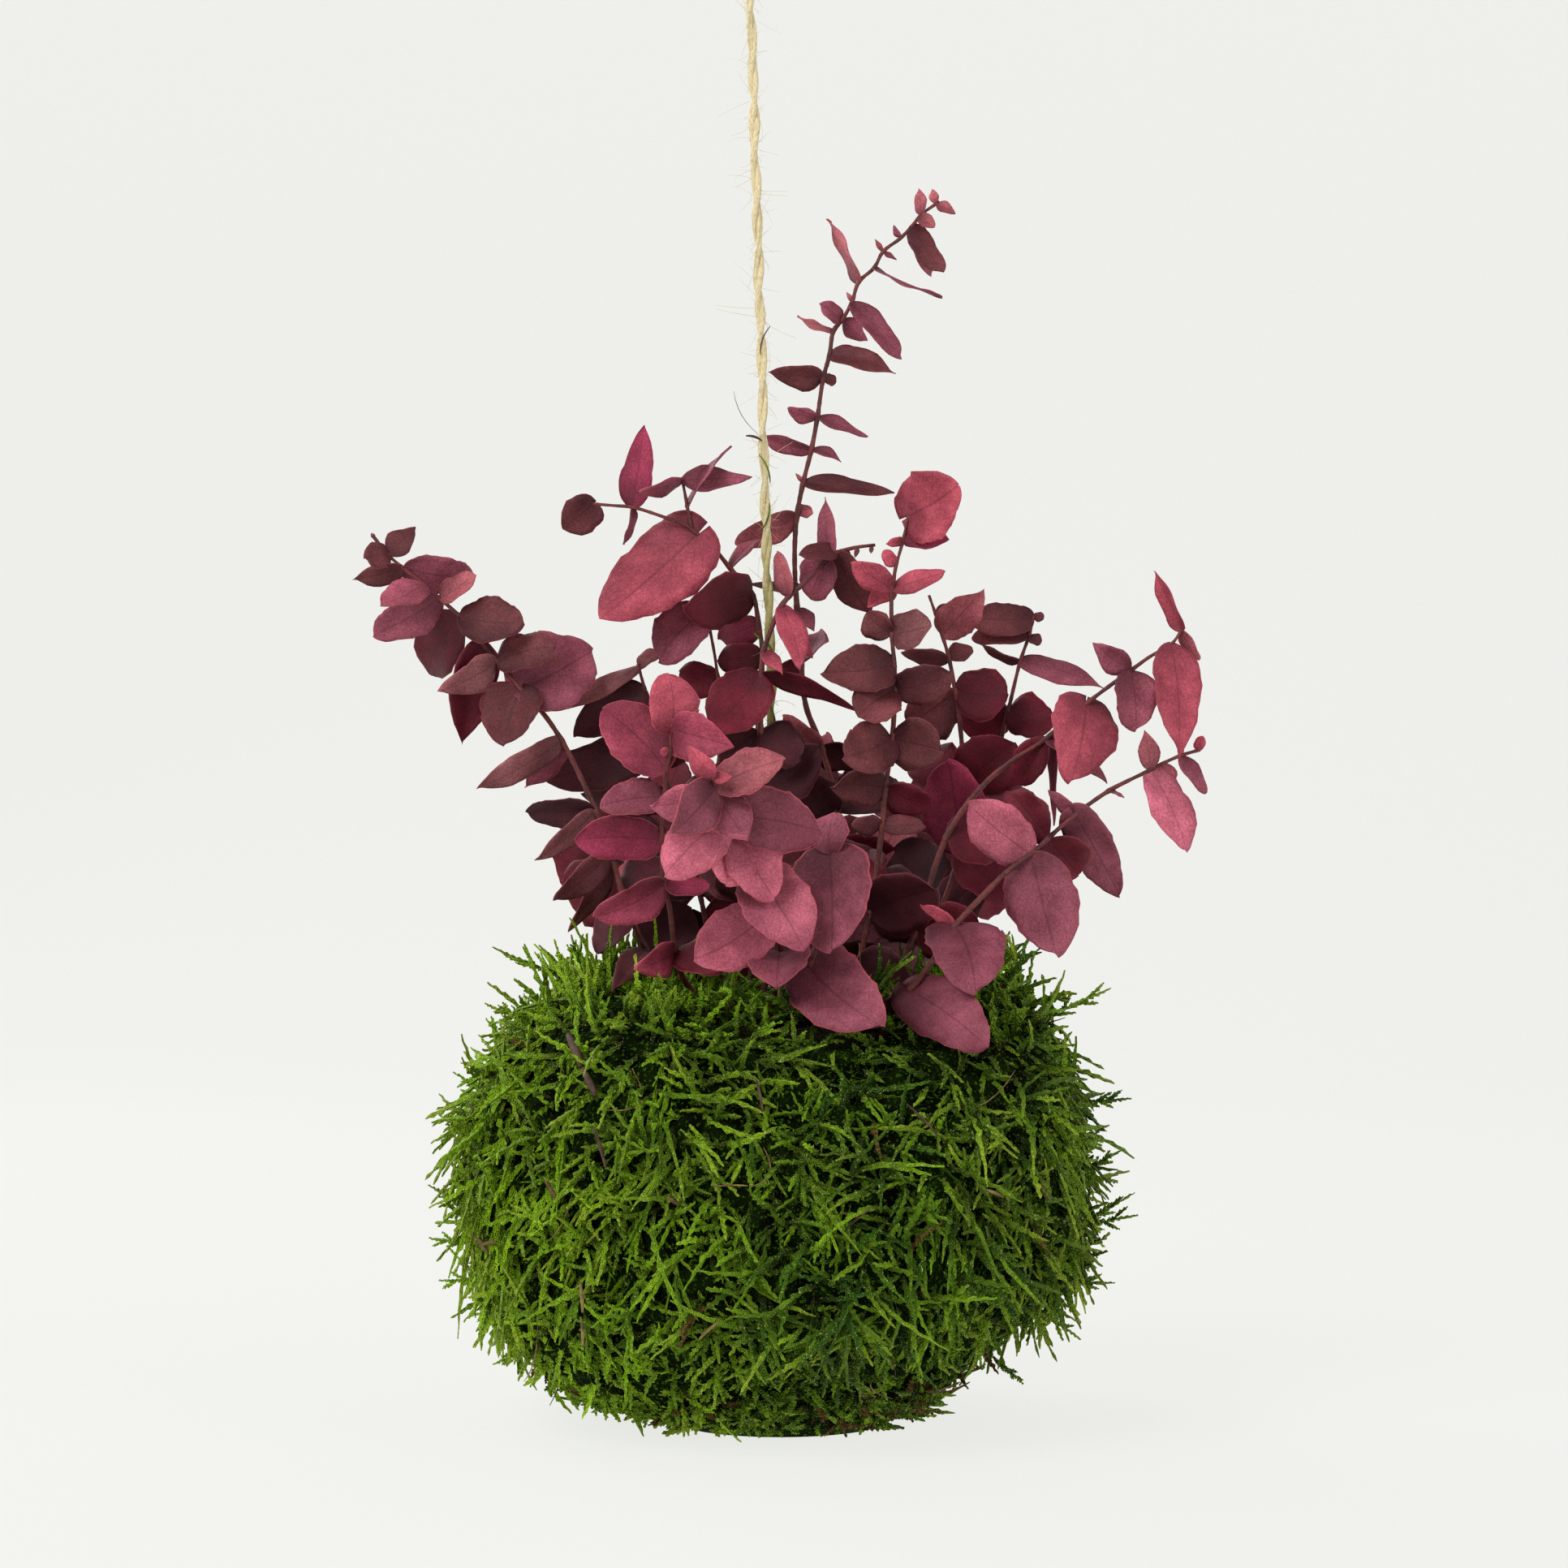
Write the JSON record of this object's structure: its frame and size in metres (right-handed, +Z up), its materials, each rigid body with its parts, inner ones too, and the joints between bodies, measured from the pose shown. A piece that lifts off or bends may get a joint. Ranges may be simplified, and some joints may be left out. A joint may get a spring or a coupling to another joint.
{
  "type": "kokedama moss ball plant",
  "caption": "Soil ball wrapped in shaggy green moss with an open crown, planted with leafy red-purple eucalyptus sprays and hung from a taut jute twine that ends in a knotted loop.",
  "frame": {"origin": "middle of the small flat spot under the ball, on the surface it rests on", "axes": "+Z up along the plant's height, +Y away from the picture's camera, +X to the right in the picture"},
  "size_m": [0.2084, 0.1691, 0.3841],
  "materials": {
    "leaves": "matte dyed leaves with faint veins on brown-red woody stems",
    "moss": "soft feathery moss, deep green with yellow-green tips",
    "soil": "dark damp peat and clay mix",
    "jute": "dry twisted jute with loose fibres"
  },
  "bodies": {
    "root": {"spray_front": "leaves", "spray_front_left": "leaves", "spray_right_lower": "leaves", "spray_mid_right": "leaves", "spray_right_upper": "leaves", "spray_top_left": "leaves", "spray_left": "leaves", "spray_tall": "leaves", "spray_middle": "leaves", "spray_right_back": "leaves", "spray_cut_stem": "leaves", "spray_behind_left": "leaves", "spray_back_left": "leaves", "spray_back_middle": "leaves", "spray_back_right": "leaves", "spray_back_outer": "leaves", "moss_cover": "moss", "substrate_core": "soil", "twine": "jute", "twine_loop": "jute"}
  },
  "joints": []
}
